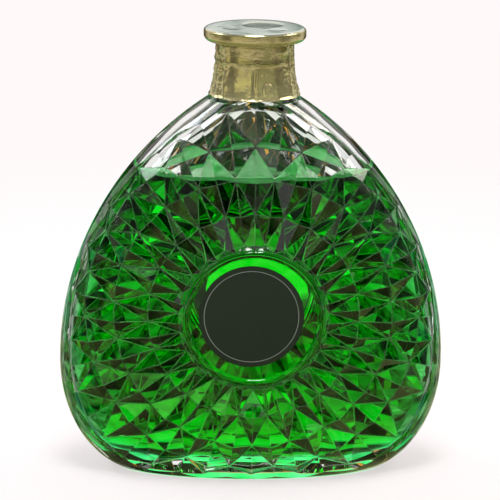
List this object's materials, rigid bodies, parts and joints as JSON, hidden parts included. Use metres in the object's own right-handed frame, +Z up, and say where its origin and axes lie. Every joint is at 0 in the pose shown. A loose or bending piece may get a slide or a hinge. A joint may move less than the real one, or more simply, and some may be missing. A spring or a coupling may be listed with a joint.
{
  "type": "cut-glass fragrance bottle",
  "caption": "Flat rounded-triangle glass bottle with radiating diamond facets, a round label medallion, green fragrance inside and a flat-headed stopper under a gold foil capsule.",
  "frame": {"origin": "middle of the elliptical foot, on the table", "axes": "+Z up along the neck, +X to the right across the width, and the labelled face looks along -Y"},
  "size_m": [0.152, 0.0586, 0.1777],
  "materials": {
    "clear_glass": "polished",
    "green_liquid": "gloss",
    "label_paper": "matte",
    "gold_foil": "satin",
    "head_plastic": "satin",
    "plug_cork": "matte"
  },
  "bodies": {
    "bottle": {"bottle_glass": "clear_glass", "fragrance_liquid": "green_liquid", "front_label": "label_paper", "capsule_skirt": "gold_foil"},
    "stopper": {"stopper_head": "head_plastic", "stopper_plug": "plug_cork", "capsule_cap": "gold_foil", "capsule_top_disc": "gold_foil"}
  },
  "joints": [
    {"name": "stopper_lift", "type": "slide", "parent": "bottle", "child": "stopper", "axis": [0, 0, 1], "range_m": [0, 0.03]}
  ]
}
